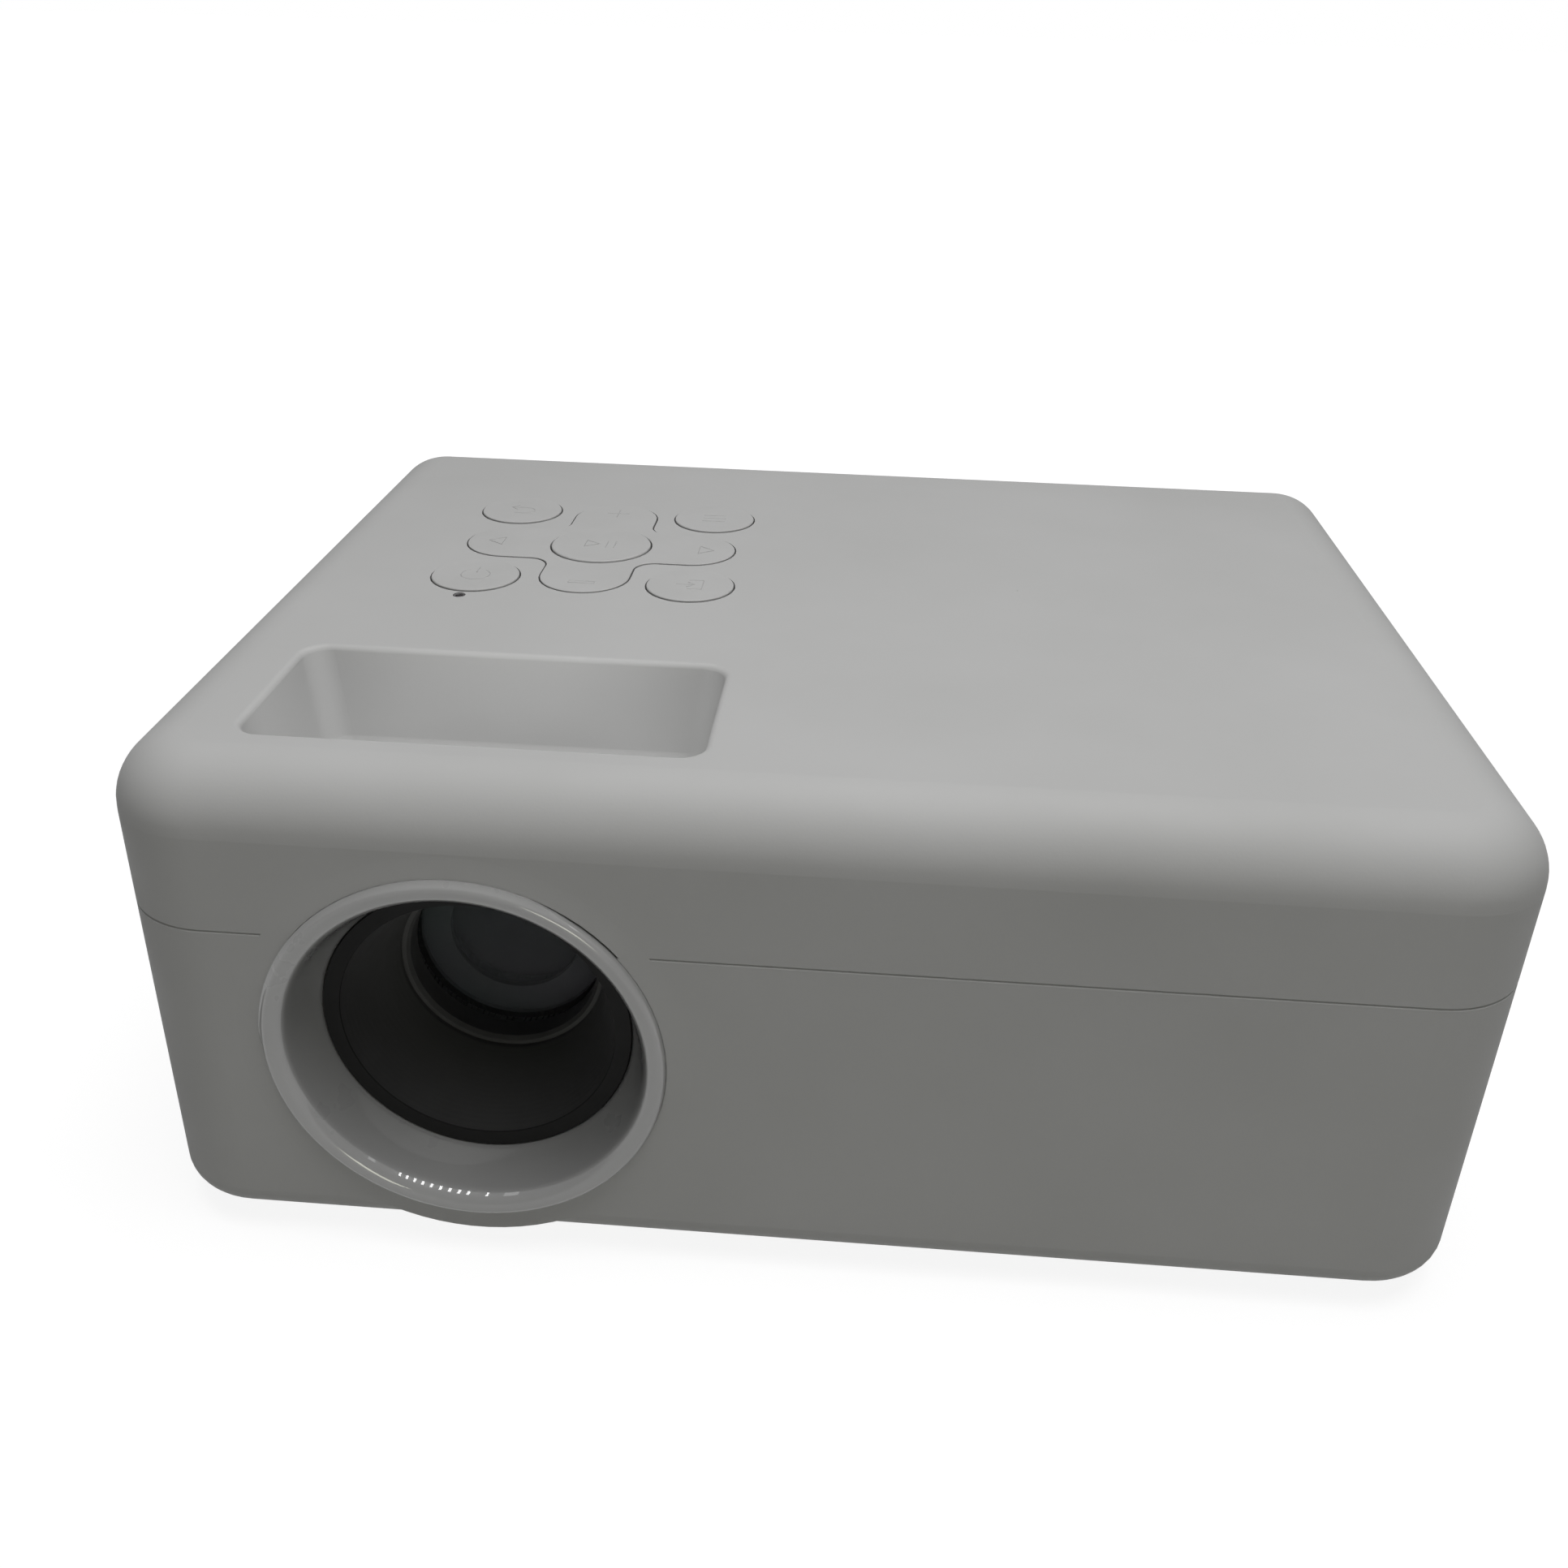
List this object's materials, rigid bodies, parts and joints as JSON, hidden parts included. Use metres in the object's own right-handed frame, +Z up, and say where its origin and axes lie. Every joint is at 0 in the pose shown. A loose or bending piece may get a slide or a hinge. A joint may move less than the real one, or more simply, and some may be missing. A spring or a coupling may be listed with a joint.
{
  "type": "video projector with disc drive",
  "caption": "Compact rounded-box video projector with a recessed front lens, a focus ring in a top finger well, a top keypad with a direction pad and a sliding side disc tray.",
  "frame": {"origin": "under the middle of the projector, on the surface its feet stand on", "axes": "+Z up, lens looking along -Y, disc tray sliding out along +X"},
  "size_m": [0.26, 0.208, 0.1066],
  "materials": {
    "casing_plastic": "satin moulded ABS with a fine spark texture, very light grey",
    "bezel_plastic": "polished moulded ABS, very light grey",
    "key_plastic": "satin moulded ABS, very light grey, with engraved symbols",
    "black_plastic": "matt black moulded plastic",
    "gloss_black_plastic": "satin black moulded polycarbonate",
    "lens_glass": "coated optical glass",
    "clear_plastic": "clear moulded acrylic",
    "picture_panel": "dark liquid-crystal glass",
    "dark_window": "dark red infrared filter",
    "rubber": "matt moulded rubber",
    "silicone": "grey silicone rubber",
    "circuit_board": "glass-epoxy board with green solder mask",
    "components": "moulded electronic components",
    "sheet_steel": "zinc-plated sheet steel",
    "steel": "plain steel",
    "nickel": "nickel-plated steel",
    "aluminium": "plain extruded aluminium",
    "brass": "turned brass",
    "tray_plastic": "dark grey moulded plastic",
    "white_board": "white aluminium-core lamp board with a yellow chip"
  },
  "bodies": {
    "casing": {"lower_shell": "casing_plastic", "upper_shell": "casing_plastic", "lens_bezel": "bezel_plastic", "lens_sleeve": "black_plastic", "light_box": "black_plastic", "fresnel_lenses": "clear_plastic", "lcd_frame": "black_plastic", "lcd_panel": "picture_panel", "light_tunnel": "black_plastic", "condenser_lens": "clear_plastic", "led_module": "white_board", "heat_sink": "aluminium", "fan_frame": "black_plastic", "keypad_board": "circuit_board", "keypad_switches": "components", "light_pipe": "clear_plastic", "drive_case": "sheet_steel", "drive_cover": "sheet_steel", "drive_board": "circuit_board", "main_board": "circuit_board", "main_board_chips": "components", "board_standoffs": "brass", "power_board": "circuit_board", "power_board_parts": "components", "io_panel": "black_plastic", "hdmi_socket": "nickel", "usb_socket": "nickel", "audio_jacks": "black_plastic", "ir_window": "dark_window", "mains_inlet": "black_plastic", "inlet_pins": "nickel", "speakers": "black_plastic", "rubber_feet": "rubber", "tripod_insert": "brass", "case_screws": "steel"},
    "power_key": {"power_key": "key_plastic"},
    "source_key": {"source_key": "key_plastic"},
    "back_key": {"back_key": "key_plastic"},
    "menu_key": {"menu_key": "key_plastic"},
    "ok_key": {"ok_key": "key_plastic"},
    "dpad_seat": {"dpad_seat": "silicone"},
    "dpad": {"dpad": "key_plastic"},
    "focus_ring": {"focus_ring": "black_plastic"},
    "lens_barrel": {"lens_barrel": "black_plastic", "lens_retaining_ring": "gloss_black_plastic", "front_glass": "lens_glass", "inner_glasses": "lens_glass"},
    "fan_rotor": {"fan_rotor": "black_plastic"},
    "drive_rails": {"drive_rails": "steel"},
    "disc_tray": {"disc_tray": "tray_plastic", "tray_bezel": "casing_plastic", "spindle_motor": "sheet_steel", "sled_rods": "steel", "sled_motor": "nickel"},
    "eject_button": {"eject_button": "key_plastic"},
    "disc_hub": {"disc_hub": "black_plastic"},
    "pickup_sled": {"pickup_sled": "black_plastic"},
    "lead_screw": {"lead_screw": "steel"},
    "leveling_wheel": {"leveling_wheel": "black_plastic"},
    "leveling_stud": {"leveling_stud": "black_plastic"}
  },
  "joints": [
    {"name": "power_key_press", "type": "slide", "parent": "casing", "child": "power_key", "axis": [0, 0, -1], "range_m": [0, 0.0006], "stiffness_N_per_m": 800, "springref_m": -0.0004},
    {"name": "source_key_press", "type": "slide", "parent": "casing", "child": "source_key", "axis": [0, 0, -1], "range_m": [0, 0.0006], "stiffness_N_per_m": 800, "springref_m": -0.0004},
    {"name": "back_key_press", "type": "slide", "parent": "casing", "child": "back_key", "axis": [0, 0, -1], "range_m": [0, 0.0006], "stiffness_N_per_m": 800, "springref_m": -0.0004},
    {"name": "menu_key_press", "type": "slide", "parent": "casing", "child": "menu_key", "axis": [0, 0, -1], "range_m": [0, 0.0006], "stiffness_N_per_m": 800, "springref_m": -0.0004},
    {"name": "ok_key_press", "type": "slide", "parent": "casing", "child": "ok_key", "axis": [0, 0, -1], "range_m": [0, 0.0006], "stiffness_N_per_m": 800, "springref_m": -0.0004},
    {"name": "dpad_tilt_fore_aft", "type": "hinge", "parent": "casing", "child": "dpad_seat", "pos_m": [-0.059, 0.024, 0.0996], "axis": [1, 0, 0], "range_deg": [-1.5, 1.5], "stiffness_Nm_per_rad": 0.5},
    {"name": "dpad_tilt_sideways", "type": "hinge", "parent": "dpad_seat", "child": "dpad", "pos_m": [-0.059, 0.024, 0.0996], "axis": [0, 1, 0], "range_deg": [-1.5, 1.5], "stiffness_Nm_per_rad": 0.5},
    {"name": "focus_turn", "type": "hinge", "parent": "casing", "child": "focus_ring", "pos_m": [-0.064, -0.064, 0.049], "axis": [0, 1, 0], "range_deg": [-60, 60]},
    {"name": "barrel_slide", "type": "slide", "parent": "casing", "child": "lens_barrel", "axis": [0, 1, 0], "range_m": [-0.002, 0.002]},
    {"name": "fan_spin", "type": "hinge", "parent": "casing", "child": "fan_rotor", "pos_m": [-0.064, 0.0955, 0.0405], "axis": [0, 1, 0], "continuous": true},
    {"name": "tray_slide", "type": "slide", "parent": "casing", "child": "disc_tray", "axis": [1, 0, 0], "range_m": [0, 0.126]},
    {"name": "rails_slide", "type": "slide", "parent": "casing", "child": "drive_rails", "axis": [1, 0, 0], "range_m": [0, 0.063]},
    {"name": "eject_press", "type": "slide", "parent": "disc_tray", "child": "eject_button", "axis": [-1, 0, 0], "range_m": [0, 0.0005], "stiffness_N_per_m": 500, "springref_m": -0.0003},
    {"name": "hub_spin", "type": "hinge", "parent": "disc_tray", "child": "disc_hub", "pos_m": [0.0652, 0.001, 0.0366], "axis": [0, 0, 1], "continuous": true},
    {"name": "sled_slide", "type": "slide", "parent": "disc_tray", "child": "pickup_sled", "axis": [1, 0, 0], "range_m": [0, 0.024]},
    {"name": "lead_screw_turn", "type": "hinge", "parent": "disc_tray", "child": "lead_screw", "pos_m": [0.0852, 0.0205, 0.0359], "axis": [1, 0, 0], "range_deg": [0, 2890]},
    {"name": "leveling_wheel_turn", "type": "hinge", "parent": "casing", "child": "leveling_wheel", "pos_m": [-0.006, -0.078, 0.005], "axis": [0, 0, 1], "range_deg": [0, 2160]},
    {"name": "leveling_stud_slide", "type": "slide", "parent": "casing", "child": "leveling_stud", "axis": [0, 0, -1], "range_m": [0, 0.012]}
  ],
  "couplings": [
    {"joint": "barrel_slide", "follows": "focus_turn", "m_per_rad": 0.0019},
    {"joint": "rails_slide", "follows": "tray_slide", "ratio": 0.5},
    {"joint": "lead_screw_turn", "follows": "sled_slide", "rad_per_m": 2094.4},
    {"joint": "leveling_stud_slide", "follows": "leveling_wheel_turn", "m_per_rad": 0.000318}
  ]
}
